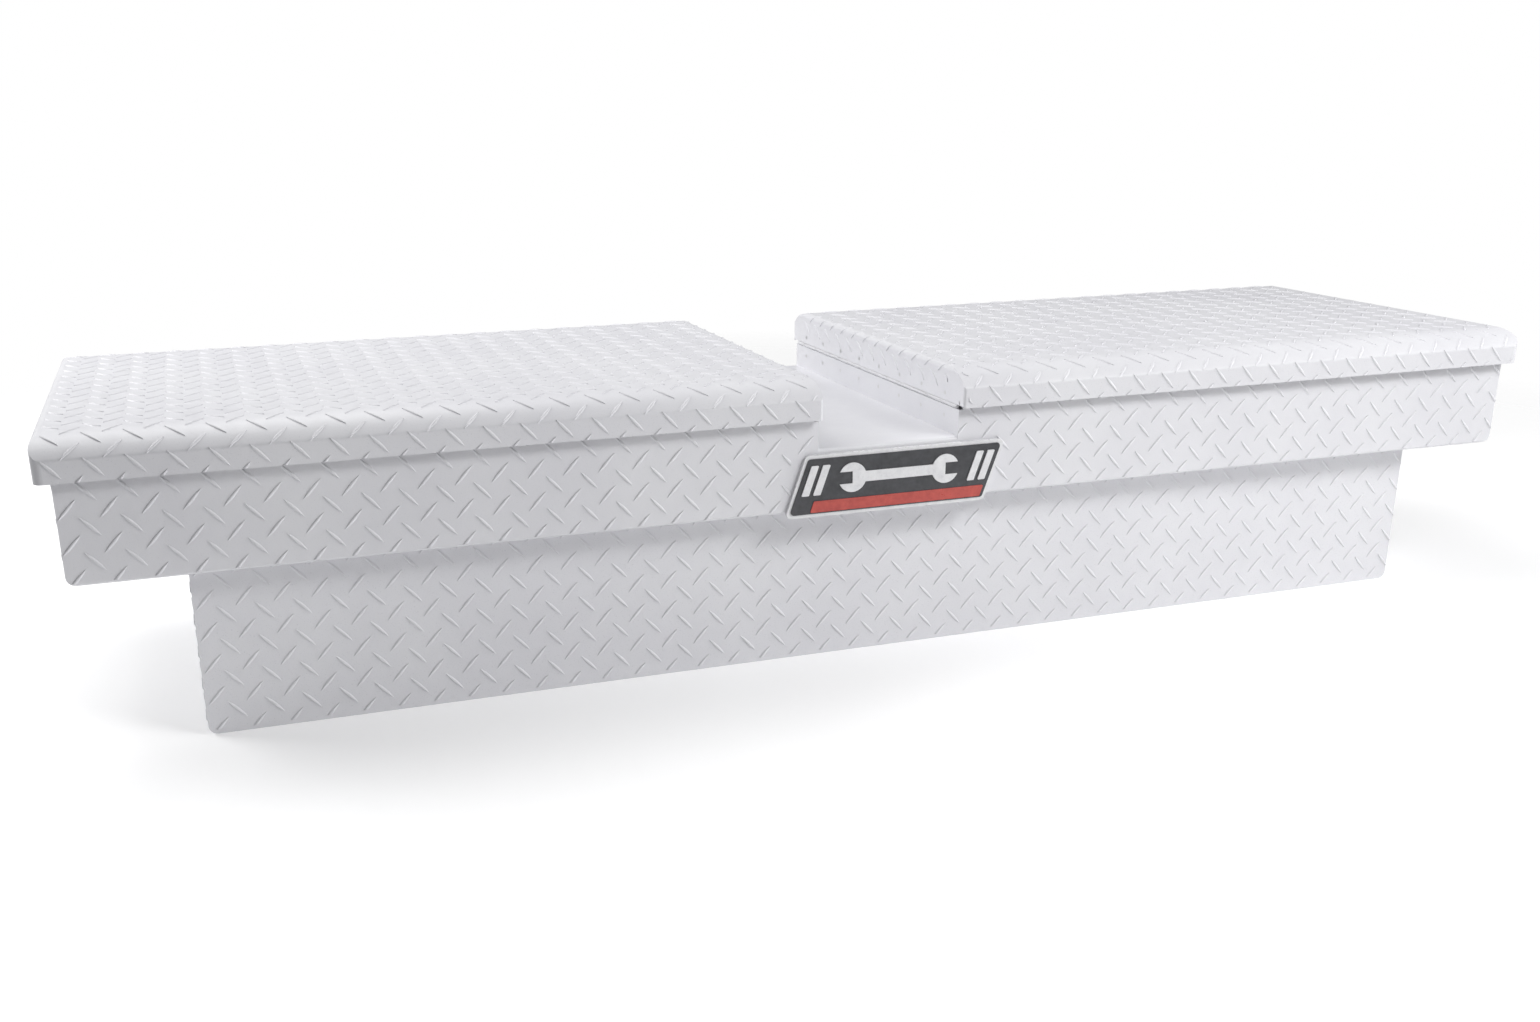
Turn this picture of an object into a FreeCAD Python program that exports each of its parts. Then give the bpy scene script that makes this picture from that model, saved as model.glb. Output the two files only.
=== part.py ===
import FreeCAD, Part
import Sketcher
import math
import os

# Gull-wing crossover tool box for a pickup bed: a wide upper body rests on the bed rails,
# a narrower tub hangs between them, and two lids open upwards from a low central channel.
# Frame: origin at the bottom centre, +X along the box, +Y to the rear, +Z up, millimetres.

os.makedirs("parts", exist_ok=True)
doc = FreeCAD.newDocument("ToolBox")

SIZES = {
    # envelope
    "overall_length": 1778.0,
    "overall_depth": 514.0,
    "overall_height": 334.0,
    "body_length": 1748.0,
    "body_depth": 491.0,
    "tub_length": 1524.0,
    "tub_depth": 432.0,
    "ledge_height": 186.0,
    "rim_height": 300.0,
    "skirt_bottom": 291.5,
    "channel_width": 173.0,
    "channel_floor": 257.0,
    # sheet metal
    "gauge": 1.6,
    "body_corner": 10.0,
    "sheet_bend": 3.0,
    "lid_roll": 54.0,
    "lid_foot_bend": 4.5,
    "lid_brow_height": 19.5,
    "lid_brow_run": 17.8,
    "lid_end_bend": 10.0,
    "lid_inner_bend": 6.0,
    "lid_inner_corner": 3.0,
    "lip_depth": 7.0,
    "floor_flange": 22.0,
    # lid sandwich and opening
    "pan_height": 308.0,
    "pan_gauge": 1.2,
    "fit_gap": 0.2,
    "lid_filling_start": 91.5,
    "rim_start": 92.0,
    "rim_leg": 16.0,
    "seal_setback": 4.0,
    "seal_width": 8.0,
    "seal_height": 7.7,
    # piano hinges
    "pivot_offset": 87.3,
    "pivot_height": 290.5,
    "knuckle_radius": 2.2,
    "hinge_pin_radius": 1.2,
    "running_gap": 0.05,
    "hinge_length": 480.0,
    "knuckle_pitch": 24.0,
    "knuckle_gap": 0.4,
    "leaf_gauge": 1.2,
    "leaf_relief": 2.6,
    "leaf_height": 23.0,
    "rivet_radius": 2.4,
    "rivet_head": 4.5,
    "rivet_dome": 1.8,
    # gas struts
    "strut_run": 250.0,
    "strut_rise": 46.5,
    "strut_foot_x": 137.3,
    "strut_foot_z": 250.5,
    "strut_plane": 214.0,
    "strut_tube": 8.0,
    "strut_rod_radius": 4.0,
    "strut_tube_end": 155.0,
    # end latches
    "paddle_pin_inset": 6.0,
    "paddle_pin_height": 258.0,
    "pawl_pin_inset": 48.0,
    "pawl_pin_height": 262.0,
    # mounting and drainage
    "mount_hole_radius": 5.25,
    "mount_hole_inset": 56.0,
    "mount_hole_row": 160.0,
    "drain_radius": 8.0,
    "drain_offset": 640.0,
    "pad_thickness": 3.0,
    # front badge
    "badge_thickness": 4.5,
    "badge_inlay": 1.0,
    "badge_relief": 1.4,
}


class Size:
    """A length that carries both its value and the expression that gives it."""

    def __init__(self, value, text):
        self.value = float(value)
        self.text = text

    def __add__(self, other):
        other = as_size(other)
        return Size(self.value + other.value, f"({self.text} + {other.text})")

    def __radd__(self, other):
        return as_size(other) + self

    def __sub__(self, other):
        other = as_size(other)
        return Size(self.value - other.value, f"({self.text} - {other.text})")

    def __rsub__(self, other):
        return as_size(other) - self

    def __mul__(self, factor):
        return Size(self.value * factor, f"({self.text} * {factor})")

    __rmul__ = __mul__

    def __truediv__(self, divisor):
        return Size(self.value / divisor, f"({self.text} / {divisor})")

    def __neg__(self):
        return Size(-self.value, f"(0 - {self.text})")


def as_size(number):
    if isinstance(number, Size):
        return number
    return Size(number, f"({float(number)})")


def make_sheet():
    sheet = doc.addObject("Spreadsheet::Sheet", "Sizes")
    names = {}
    for row, (name, value) in enumerate(SIZES.items(), start=1):
        sheet.set(f"A{row}", name)
        sheet.set(f"B{row}", str(value))
        sheet.setAlias(f"B{row}", name)
        names[name] = Size(value, f"Sizes.{name}")
    doc.recompute()
    return names


s = make_sheet()
T = s["gauge"]
HALF_LENGTH = s["overall_length"] * 0.5
HALF_DEPTH = s["overall_depth"] * 0.5
BODY_X = s["body_length"] * 0.5
BODY_Y = s["body_depth"] * 0.5
TUB_X = s["tub_length"] * 0.5
TUB_Y = s["tub_depth"] * 0.5
CHANNEL_X = s["channel_width"] * 0.5
LEDGE = s["ledge_height"]
WALL_TOP = s["pivot_height"] - s["leaf_relief"]
HINGE_SKIRT = s["pivot_height"] + s["leaf_relief"]
LEAF_X = CHANNEL_X + T
INSIDE_Y = BODY_Y - T


# ---------------------------------------------------------------- building helpers

def bind(item, prop, size):
    item.setExpression(prop, as_size(size).text)


def place(item, x, y, z):
    bind(item, "Placement.Base.x", x)
    bind(item, "Placement.Base.y", y)
    bind(item, "Placement.Base.z", z)


def box(name, low, high):
    """Part::Box between two corners, each a triple of sizes."""
    item = doc.addObject("Part::Box", name)
    for prop, start, end in zip(("Length", "Width", "Height"), low, high):
        bind(item, prop, as_size(end) - start)
    place(item, *low)
    return item


def rod(name, radius, start, length, axis):
    """Part::Cylinder from a point, along +X, +Y or +Z."""
    item = doc.addObject("Part::Cylinder", name)
    turns = {"X": FreeCAD.Rotation(FreeCAD.Vector(0, 1, 0), 90),
             "Y": FreeCAD.Rotation(FreeCAD.Vector(1, 0, 0), -90),
             "Z": FreeCAD.Rotation()}
    item.Placement = FreeCAD.Placement(FreeCAD.Vector(), turns[axis])
    bind(item, "Radius", radius)
    bind(item, "Height", length)
    place(item, *start)
    return item


def dome(name, foot, radius, start, height, axis):
    """Part::Cone that stands for a rivet or screw head, wide end at its start."""
    item = doc.addObject("Part::Cone", name)
    turns = {"X": FreeCAD.Rotation(FreeCAD.Vector(0, 1, 0), 90),
             "Z": FreeCAD.Rotation()}
    item.Placement = FreeCAD.Placement(FreeCAD.Vector(), turns[axis])
    bind(item, "Radius1", foot)
    bind(item, "Radius2", radius)
    bind(item, "Height", height)
    place(item, *start)
    return item


def fuse(name, pieces):
    item = doc.addObject("Part::MultiFuse", name)
    item.Shapes = pieces
    item.Refine = True
    return item


def group(name, pieces):
    item = doc.addObject("Part::Compound", name)
    item.Links = pieces
    return item


def cut(name, base, tools):
    item = doc.addObject("Part::Cut", name)
    item.Base = base
    item.Tool = tools[0] if len(tools) == 1 else fuse(name + "_tools", tools)
    item.Refine = True
    return item


def common(name, first, second):
    item = doc.addObject("Part::MultiCommon", name)
    item.Shapes = [first, second]
    return item


PLANES = {"XY": ("XY_Plane", 1), "XZ": ("XZ_Plane", -1), "YZ": ("YZ_Plane", 1)}


def sketch_in(body, plane, loops, offset):
    """Sketch of closed outlines; every corner is dimensioned from the origin."""
    role, sign = PLANES[plane]
    sketch = body.newObject("Sketcher::SketchObject", body.Name + "_sketch")
    support = [f for f in body.Origin.OriginFeatures if f.Role == role][0]
    sketch.AttachmentSupport = [(support, "")]
    sketch.MapMode = "FlatFace"
    bind(sketch, "AttachmentOffset.Base.z", as_size(offset) * sign)
    for loop in loops:
        corners = [(as_size(across), as_size(up)) for across, up in loop]
        first = sketch.GeometryCount
        points = [FreeCAD.Vector(across.value, up.value, 0) for across, up in corners]
        for index, point in enumerate(points):
            after = points[(index + 1) % len(points)]
            sketch.addGeometry(Part.LineSegment(point, after), False)
        for index, (across, up) in enumerate(corners):
            line = first + index
            after = first + (index + 1) % len(corners)
            sketch.addConstraint(Sketcher.Constraint("Coincident", line, 2, after, 1))
            for kind, size in (("DistanceX", across), ("DistanceY", up)):
                made = sketch.addConstraint(Sketcher.Constraint(kind, -1, 1, line, 1, size.value))
                sketch.setExpression(f"Constraints[{made}]", size.text)
    return sketch


def extruded(name, plane, loops, start, end):
    """PartDesign body: the outlines padded between two positions along the plane's normal."""
    body = doc.addObject("PartDesign::Body", name)
    start = as_size(start)
    end = as_size(end)
    near = start if PLANES[plane][1] > 0 else end
    sketch = sketch_in(body, plane, loops, near)
    pad = body.newObject("PartDesign::Pad", name + "_pad")
    pad.Profile = sketch
    bind(pad, "Length", end - start)
    body.Tip = pad
    doc.recompute()
    return body


def runs_through(edge, axis, corner):
    """True for a straight edge along the axis through the given two coordinates."""
    fixed = [index for index in range(3) if index != "XYZ".index(axis)]
    for vertex in edge.Vertexes:
        for index, size in zip(fixed, corner):
            if abs(vertex.Point[index] - as_size(size).value) > 0.01:
                return False
    return edge.Length > 0.5


def lies_in(edge, axis, size):
    """True for an edge that lies in the plane across the axis at the given position."""
    index = "XYZ".index(axis)
    at = as_size(size).value
    low = edge.BoundBox.getPoint(0)[index]
    high = edge.BoundBox.getPoint(6)[index]
    return abs(low - at) < 0.01 and abs(high - at) < 0.01


def round_edges(body, wanted, radius):
    """PartDesign::Fillet on every edge of the body's tip that wanted() accepts."""
    base = body.Tip
    names = [f"Edge{n}" for n, edge in enumerate(base.Shape.Edges, start=1) if wanted(edge)]
    if not names:
        raise RuntimeError(f"no edge to round on {body.Name}")
    fillet = body.newObject("PartDesign::Fillet", body.Name + "_fillet")
    fillet.Base = (base, names)
    bind(fillet, "Radius", radius)
    body.Tip = fillet
    doc.recompute()
    return body


def round_corners(body, axis, corners, radius):
    return round_edges(body, lambda edge: any(runs_through(edge, axis, c) for c in corners), radius)


def rectangle(across_low, across_high, up_low, up_high):
    return [(across_low, up_low), (across_high, up_low), (across_high, up_high), (across_low, up_high)]


def mirrored(name, source, normal):
    item = doc.addObject("Part::Mirroring", name)
    item.Source = source
    item.Normal = normal
    return item


NODES = []


def keep(item, name):
    item.Label = name
    NODES.append(item)
    return item


def keep_pair(item, name):
    """Keeps a right-hand piece and its mirror image on the left."""
    keep(item, "right_" + name)
    keep(mirrored("left_" + name, item, FreeCAD.Vector(1, 0, 0)), "left_" + name)
    return item


# ---------------------------------------------------------------- body shell

def stepped_panel():
    """Front wall: upper face, ledge and set-back lower face folded from one sheet."""
    fold = [(-TUB_Y, 0), (-TUB_Y, LEDGE), (-BODY_Y, LEDGE), (-BODY_Y, s["rim_height"]),
            (-INSIDE_Y, s["rim_height"]), (-INSIDE_Y, LEDGE + T), (T - TUB_Y, LEDGE + T), (T - TUB_Y, 0)]
    sheet = extruded("front_fold", "YZ", [fold], -BODY_X, BODY_X)
    round_corners(sheet, "X", [fold[2], fold[6]], s["sheet_bend"])
    round_corners(sheet, "X", [fold[1], fold[5]], s["sheet_bend"] - T)
    notch = s["channel_floor"] - s["lip_depth"]
    right = [(TUB_X, 0), (TUB_X, LEDGE), (BODY_X, LEDGE), (BODY_X, s["rim_height"]),
             (s["rim_start"], s["rim_height"]), (s["rim_start"], WALL_TOP),
             (CHANNEL_X, WALL_TOP), (CHANNEL_X, notch)]
    left = [(-across, up) for across, up in reversed(right)]
    outline = extruded("front_outline", "XZ", [right + left], -BODY_Y, 0)
    low_corners = [(TUB_X, 0), (-TUB_X, 0), (BODY_X, LEDGE), (-BODY_X, LEDGE)]
    round_corners(outline, "Y", low_corners, s["body_corner"])
    trimmed = common("front_trimmed", sheet, outline)
    spare = [box(f"front_spare_{side}", (low, -INSIDE_Y, LEDGE - T), (high, T - TUB_Y, LEDGE + 2 * T))
             for side, low, high in (("right", TUB_X - T, BODY_X), ("left", -BODY_X, T - TUB_X))]
    return cut("front_sheet", trimmed, spare)


def end_panel():
    """Right end: upper wall, rail ledge, lower wall and floor flange folded from one sheet."""
    flange = TUB_X - s["floor_flange"]
    fold = [(flange, 0), (TUB_X, 0), (TUB_X, LEDGE), (BODY_X, LEDGE), (BODY_X, s["rim_height"]),
            (BODY_X - T, s["rim_height"]), (BODY_X - T, LEDGE + T), (TUB_X - T, LEDGE + T),
            (TUB_X - T, T), (flange, T)]
    sheet = extruded("end_fold", "XZ", [fold], -INSIDE_Y, INSIDE_Y)
    round_corners(sheet, "Y", [fold[1], fold[3]], s["body_corner"])
    round_corners(sheet, "Y", [fold[8], fold[6]], s["body_corner"] - T)
    round_corners(sheet, "Y", [fold[7]], s["sheet_bend"])
    round_corners(sheet, "Y", [fold[2]], s["sheet_bend"] - T)
    narrow = [box(f"end_narrow_{side}", (flange - T, low, -T), (TUB_X + T, high, LEDGE))
              for side, low, high in (("rear", TUB_Y - T, INSIDE_Y + T), ("front", -INSIDE_Y - T, T - TUB_Y))]
    hole_x = BODY_X - s["mount_hole_inset"]
    holes = [rod(f"mount_hole_{side}", s["mount_hole_radius"],
                 (hole_x, s["mount_hole_row"] * sign, LEDGE - T), T * 3, "Z")
             for side, sign in (("rear", 1), ("front", -1))]
    opening = extruded("latch_opening", "YZ", [rectangle(-DISH_Y, DISH_Y, DISH_LOW, DISH_HIGH)],
                       BODY_X - 2 * T, BODY_X + T)
    round_edges(opening, lambda edge: is_parallel(edge, "X"), DISH_CORNER)
    return cut("end_sheet", sheet, narrow + holes + [opening])


def is_parallel(edge, axis):
    """True for a straight edge along the axis, wherever it is."""
    spans = [edge.BoundBox.XLength, edge.BoundBox.YLength, edge.BoundBox.ZLength]
    along = "XYZ".index(axis)
    return spans[along] > 0.01 and all(span < 0.01 for index, span in enumerate(spans) if index != along)


def floor_panel():
    flange = TUB_X - s["floor_flange"]
    sheet = box("floor_sheet", (-flange, T - TUB_Y, 0), (flange, TUB_Y - T, T))
    drains = [rod(f"drain_hole_{side}", s["drain_radius"], (s["drain_offset"] * sign, 0, -T), T * 3, "Z")
              for side, sign in (("right", 1), ("left", -1))]
    return cut("floor_drained", sheet, drains)


def channel_pan():
    """Low centre channel: floor with a folded lip front and rear, and a wall each side."""
    floor = s["channel_floor"]
    low = floor - s["lip_depth"]
    fold = [(-BODY_Y, low), (-BODY_Y, floor), (BODY_Y, floor), (BODY_Y, low),
            (INSIDE_Y, low), (INSIDE_Y, floor - T), (-INSIDE_Y, floor - T), (-INSIDE_Y, low)]
    lip_bend = s["sheet_bend"] + T
    base = extruded("channel_fold", "YZ", [fold], -CHANNEL_X, CHANNEL_X)
    round_corners(base, "X", [fold[1], fold[2]], lip_bend)
    round_corners(base, "X", [fold[5], fold[6]], lip_bend - T)
    walls = [box(f"channel_wall_{side}", (low_x, -INSIDE_Y, floor - T), (low_x + T, INSIDE_Y, WALL_TOP))
             for side, low_x in (("right", CHANNEL_X), ("left", -CHANNEL_X - T))]
    pan = fuse("channel_sheet", [base] + walls)
    holes = [rod(f"wall_rivet_hole_{n}", s["rivet_radius"],
                 (-LEAF_X - T, y, FIXED_RIVET_Z), (LEAF_X + T) * 2, "X")
             for n, y in enumerate(rivet_rows(), start=1)]
    return cut("channel_drilled", pan, holes)


def ring_box(name, inset, low, high):
    """Rectangular block inside the right lid opening, stepped in from its walls."""
    return box(name, (s["rim_start"] + inset, inset - INSIDE_Y, low),
               (BODY_X - T - inset, INSIDE_Y - inset, high))


def rim_frame():
    """Angle frame round the opening; its top flange carries the seal."""
    top = s["rim_height"]
    low = top - s["rim_leg"]
    outer = ring_box("rim_outer", 0, low, top)
    under_flange = ring_box("rim_under_flange", T, low - T, top - T)
    opening = ring_box("rim_opening", s["rim_leg"], low - T, top + T)
    return cut("rim_angle", outer, [under_flange, opening])


def bulb_seal():
    inset = s["seal_setback"]
    inner = inset + s["seal_width"]
    loops = [rectangle(s["rim_start"] + edge, BODY_X - T - edge, edge - INSIDE_Y, INSIDE_Y - edge)
             for edge in (inset, inner)]
    top = s["rim_height"] + s["seal_height"]
    seal = extruded("seal_ring", "XY", loops, s["rim_height"], top)
    round_corners(seal, "Z", loops[0], s["seal_width"] + 4)
    round_corners(seal, "Z", loops[1], 4)
    round_edges(seal, lambda edge: lies_in(edge, "Z", top), s["seal_width"] * 0.44)
    return seal


def rail_pads():
    """Two foam strips under each rail ledge, clear of the mounting holes."""
    strips = []
    for side, sign in (("right", 1), ("left", -1)):
        for row, inner in (("inner", s["sheet_bend"] * 2), ("outer", s["mount_hole_inset"] + 12)):
            near = TUB_X + inner
            far = near + 30
            low_x, high_x = (near, far) if sign > 0 else (-far, -near)
            strips.append(box(f"rail_pad_{row}_{side}", (low_x, -TUB_Y, LEDGE - s["pad_thickness"]),
                              (high_x, TUB_Y, LEDGE)))
    return group("rail_pad_strips", strips)


def drain_plugs():
    plugs = []
    for side, sign in (("right", 1), ("left", -1)):
        at = s["drain_offset"] * sign
        stem = rod(f"plug_stem_{side}", s["drain_radius"] - s["running_gap"], (at, 0, s["fit_gap"]), T * 2, "Z")
        cap = dome(f"plug_cap_{side}", s["drain_radius"] + 5, s["drain_radius"], (at, 0, T), 3, "Z")
        plugs.append(fuse(f"plug_{side}", [stem, cap]))
    return group("drain_plug_pair", plugs)


# ---------------------------------------------------------------- lids and hinges

BROW_ANGLE = math.atan2(SIZES["lid_brow_height"], SIZES["lid_brow_run"])
BROW_SHIFT = math.tan(BROW_ANGLE / 2)
FOOT_SHIFT = math.tan((math.pi / 2 - BROW_ANGLE) / 2)


def lid_block(name, inset, start, low, inner_bend, inner_corner):
    """Right lid's outer form, stepped in by inset, from x = start and z = low up.

    Three padded outlines cut each other: an upright skirt bent into a curved brow along the front
    and rear, the two rolled ends, and the rounded plan corners.
    """
    inset = as_size(inset)
    top = s["overall_height"] - inset
    half = HALF_DEPTH - inset
    far = HALF_LENGTH - inset
    foot = s["overall_height"] - s["lid_brow_height"] - inset * FOOT_SHIFT
    brow = HALF_DEPTH - s["lid_brow_run"] - inset * BROW_SHIFT
    section = [(-half, low), (half, low), (half, foot), (brow, top), (-brow, top), (-half, foot)]
    across = extruded(name + "_brow", "YZ", [section], start, far)
    round_corners(across, "X", [(half, foot), (-half, foot)], s["lid_foot_bend"] - inset)
    round_corners(across, "X", [(brow, top), (-brow, top)], s["lid_roll"] - inset)
    along = extruded(name + "_ends", "XZ", [rectangle(start, far, low, top)], -half, half)
    round_corners(along, "Y", [(far, top)], s["lid_end_bend"] - inset)
    round_corners(along, "Y", [(start, top)], inner_bend)
    plan = extruded(name + "_plan", "XY", [rectangle(start, far, -half, half)], low, top)
    round_corners(plan, "Z", [(far, half), (far, -half)], s["lid_end_bend"] - inset)
    round_corners(plan, "Z", [(start, half), (start, -half)], inner_corner)
    return common(name + "_form", common(name + "_mitred", across, along), plan)


def lid_skin():
    bend = s["lid_inner_bend"]
    corner = s["lid_inner_corner"]
    low = s["skirt_bottom"]
    outer = lid_block("lid_outer", 0, CHANNEL_X, low, bend, corner)
    inner = lid_block("lid_inner", T, LEAF_X, low - T, bend - T, corner - T)
    over_hinge = box("lid_hinge_relief", (CHANNEL_X - T, T - HALF_DEPTH, low - T),
                     (LEAF_X + T, HALF_DEPTH - T, HINGE_SKIRT))
    holes = [rod(f"skirt_rivet_hole_{n}", s["rivet_radius"], (CHANNEL_X - T, y, LID_RIVET_Z), T * 3, "X")
             for n, y in enumerate(rivet_rows(), start=1)]
    return cut("lid_shell", outer, [inner, over_hinge] + holes)


def lid_foam():
    gap = T + s["fit_gap"]
    low = s["skirt_bottom"]
    start = s["lid_filling_start"]
    block = lid_block("lid_core", gap, start, low, s["lid_inner_bend"] - T, s["lid_inner_corner"] - T)
    under = box("lid_core_base", (start - T, -HALF_DEPTH, low - T),
                (HALF_LENGTH, HALF_DEPTH, s["pan_height"] + s["pan_gauge"]))
    return cut("lid_core_trimmed", block, [under])


def lid_pan():
    gap = T + s["fit_gap"]
    half = HALF_DEPTH - gap
    sheet = extruded("lid_pan_sheet", "XY",
                     [rectangle(s["lid_filling_start"], HALF_LENGTH - gap, -half, half)],
                     s["pan_height"], s["pan_height"] + s["pan_gauge"])
    return round_corners(sheet, "Z", [(HALF_LENGTH - gap, -half), (HALF_LENGTH - gap, half)],
                         s["lid_end_bend"] - T)


KNUCKLES = int(SIZES["hinge_length"] / SIZES["knuckle_pitch"])
RIVET_COUNT = 8
FIXED_RIVET_Z = s["pivot_height"] - 15
LID_RIVET_Z = s["pivot_height"] + 11


def rivet_rows():
    pitch = SIZES["hinge_length"] / RIVET_COUNT
    return [pitch * (n - (RIVET_COUNT - 1) / 2) for n in range(RIVET_COUNT)]


def hinge_leaf(name, first, low, high, rivet_z):
    """Leaf between two heights, with every second knuckle starting from the given one."""
    gauge = s["leaf_gauge"]
    half = s["hinge_length"] * 0.5
    pivot = s["pivot_height"]
    web_low, web_high = (pivot, low) if low.value > pivot.value else (high, pivot)
    length = s["knuckle_pitch"] - s["knuckle_gap"]
    pieces = [box(f"{name}_plate", (LEAF_X, -half, low), (LEAF_X + gauge, half, high))]
    for n in range(first, KNUCKLES, 2):
        start = n * s["knuckle_pitch"] - half + s["knuckle_gap"] * 0.5
        pieces.append(rod(f"{name}_knuckle_{n}", s["knuckle_radius"],
                          (s["pivot_offset"], start, pivot), length, "Y"))
        pieces.append(box(f"{name}_web_{n}", (LEAF_X, start, web_low), (LEAF_X + gauge, start + length, web_high)))
    bore = rod(f"{name}_bore", s["hinge_pin_radius"] + s["running_gap"],
               (s["pivot_offset"], -half - gauge, pivot), s["hinge_length"] + gauge * 2, "Y")
    holes = [rod(f"{name}_rivet_hole_{n}", s["rivet_radius"], (CHANNEL_X, y, rivet_z), gauge * 4, "X")
             for n, y in enumerate(rivet_rows(), start=1)]
    return cut(name, fuse(name + "_solid", pieces), [bore] + holes)


def hinge_rivets(name, rivet_z):
    """Rivets through the visible sheet and the leaf, flush outside and domed inside."""
    rivets = []
    for n, y in enumerate(rivet_rows(), start=1):
        shank = rod(f"{name}_shank_{n}", s["rivet_radius"], (CHANNEL_X, y, rivet_z), T + s["leaf_gauge"], "X")
        head = dome(f"{name}_head_{n}", s["rivet_head"], s["rivet_head"] - s["leaf_gauge"],
                    (LEAF_X + s["leaf_gauge"], y, rivet_z), s["rivet_dome"], "X")
        rivets.append(fuse(f"{name}_rivet_{n}", [shank, head]))
    return group(name, rivets)


def hinge_pin():
    overhang = s["leaf_gauge"]
    half = s["hinge_length"] * 0.5 + overhang
    return rod("hinge_pin_rod", s["hinge_pin_radius"], (s["pivot_offset"], -half, s["pivot_height"]),
               half * 2, "Y")


# ---------------------------------------------------------------- gas struts

STRUT_ANGLE = math.degrees(math.atan2(SIZES["strut_rise"], SIZES["strut_run"]))
STRUT_LENGTH = math.hypot(SIZES["strut_rise"], SIZES["strut_run"])
EYE_WIDTH = 10
EYE_RADIUS = 6.5
STUD_RADIUS = 4
GUIDE_LENGTH = 8
ROD_TAIL = 53
PISTON_LENGTH = 10
STRUT_WALL = 1.2


def tilted(item):
    """Turns a strut drawn along +X at its foot to its closed position."""
    item.Placement = FreeCAD.Placement(FreeCAD.Vector(), FreeCAD.Rotation(FreeCAD.Vector(0, 1, 0), -STRUT_ANGLE))
    place(item, s["strut_foot_x"], s["strut_plane"], s["strut_foot_z"])
    return item


def strut_cylinder():
    """Pressure tube with a closed foot, an eye on the foot stud and a bored rod guide."""
    end = s["strut_tube_end"]
    eye = rod("tube_eye", EYE_RADIUS, (0, -EYE_WIDTH / 2, 0), EYE_WIDTH, "Y")
    shank = rod("tube_shank", s["strut_rod_radius"], (0, 0, 0), EYE_RADIUS * 3, "X")
    tube = rod("tube_wall", s["strut_tube"], (EYE_RADIUS * 2, 0, 0), end - EYE_RADIUS * 2, "X")
    chamber = rod("tube_chamber", s["strut_tube"] - STRUT_WALL, (EYE_RADIUS * 3, 0, 0),
                  end - EYE_RADIUS * 3 - GUIDE_LENGTH, "X")
    guide = rod("tube_guide", s["strut_rod_radius"] + s["running_gap"], (end - GUIDE_LENGTH * 2, 0, 0),
                GUIDE_LENGTH * 3, "X")
    stud_bore = rod("tube_stud_bore", STUD_RADIUS + s["running_gap"], (0, -EYE_WIDTH, 0), EYE_WIDTH * 2, "Y")
    return tilted(cut("strut_tube_turned", fuse("strut_tube_solid", [eye, shank, tube]),
                      [chamber, guide, stud_bore]))


def strut_rod():
    """Rod with its piston inside the tube and a stud on the lid end."""
    shaft = rod("rod_shaft", s["strut_rod_radius"], (ROD_TAIL, 0, 0), STRUT_LENGTH - ROD_TAIL, "X")
    piston = rod("rod_piston", s["strut_tube"] - STRUT_WALL - 0.1, (ROD_TAIL, 0, 0), PISTON_LENGTH, "X")
    eye = rod("rod_eye", EYE_RADIUS, (STRUT_LENGTH, -EYE_WIDTH / 2, 0), EYE_WIDTH, "Y")
    stud = rod("rod_stud", STUD_RADIUS, (STRUT_LENGTH, 0, 0), LID_PLATE_Y - s["strut_plane"] - 0.4, "Y")
    return tilted(fuse("strut_rod_turned", [shaft, piston, eye, stud]))


LID_PLATE_Y = s["strut_plane"] + 10


def strut_foot_bracket():
    """Wall plate and stud that the strut's foot turns on, with a retaining collar."""
    x = s["strut_foot_x"]
    z = s["strut_foot_z"]
    gauge = s["sheet_bend"]
    start = s["strut_plane"] - EYE_WIDTH * 0.7
    plate = extruded("foot_plate", "XZ", [rectangle(x - 20, x + 20, z - 20, z + 20)], INSIDE_Y - gauge, INSIDE_Y)
    round_edges(plate, lambda edge: is_parallel(edge, "Y"), 5)
    stud = rod("foot_stud", STUD_RADIUS, (x, start, z), INSIDE_Y - start, "Y")
    collar = rod("foot_collar", EYE_RADIUS, (x, s["strut_plane"] + EYE_WIDTH * 0.55, z),
                 INSIDE_Y - s["strut_plane"] - EYE_WIDTH * 0.55, "Y")
    clip = rod("foot_clip", EYE_RADIUS, (x, start, z), EYE_WIDTH * 0.15, "Y")
    return fuse("foot_bracket_solid", [plate, stud, collar, clip])


def strut_lid_bracket():
    """Angle on the lid's inner pan beside the rod's stud."""
    x = s["strut_foot_x"] + s["strut_run"]
    z = s["strut_foot_z"] + s["strut_rise"]
    roof = s["pan_height"]
    plate = extruded("lid_plate", "XZ", [rectangle(x - 15, x + 15, z - 6, roof)], LID_PLATE_Y, LID_PLATE_Y + 2.5)
    round_corners(plate, "Y", [(x - 15, z - 6), (x + 15, z - 6)], 5)
    flange = box("lid_flange", (x - 25, LID_PLATE_Y - 24, roof - 2), (x + 25, LID_PLATE_Y + 2.5, roof))
    return fuse("lid_bracket_solid", [plate, flange])


# ---------------------------------------------------------------- end latches

DISH_Y = as_size(46)
DISH_LOW = as_size(210)
DISH_HIGH = as_size(266)
DISH_CORNER = 6
DISH_DEPTH = 24
BEZEL_RIM = 10
PADDLE_Y = 42
PADDLE_LOW = 224
PADDLE_GAUGE = 3
TAIL_NEAR = 5
TAIL_FAR = 9
TAIL_LENGTH = 22
PAWL_HALF = 3
LOCK_RADIUS = 8
LOCK_Z = 238
STRIKER_Z = 291
STRIKER_RADIUS = 3
PADDLE_PIN_RADIUS = 2
PAWL_PIN_RADIUS = 2.5
PADDLE_X = BODY_X - s["paddle_pin_inset"]
PAWL_X = BODY_X - s["pawl_pin_inset"]


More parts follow.
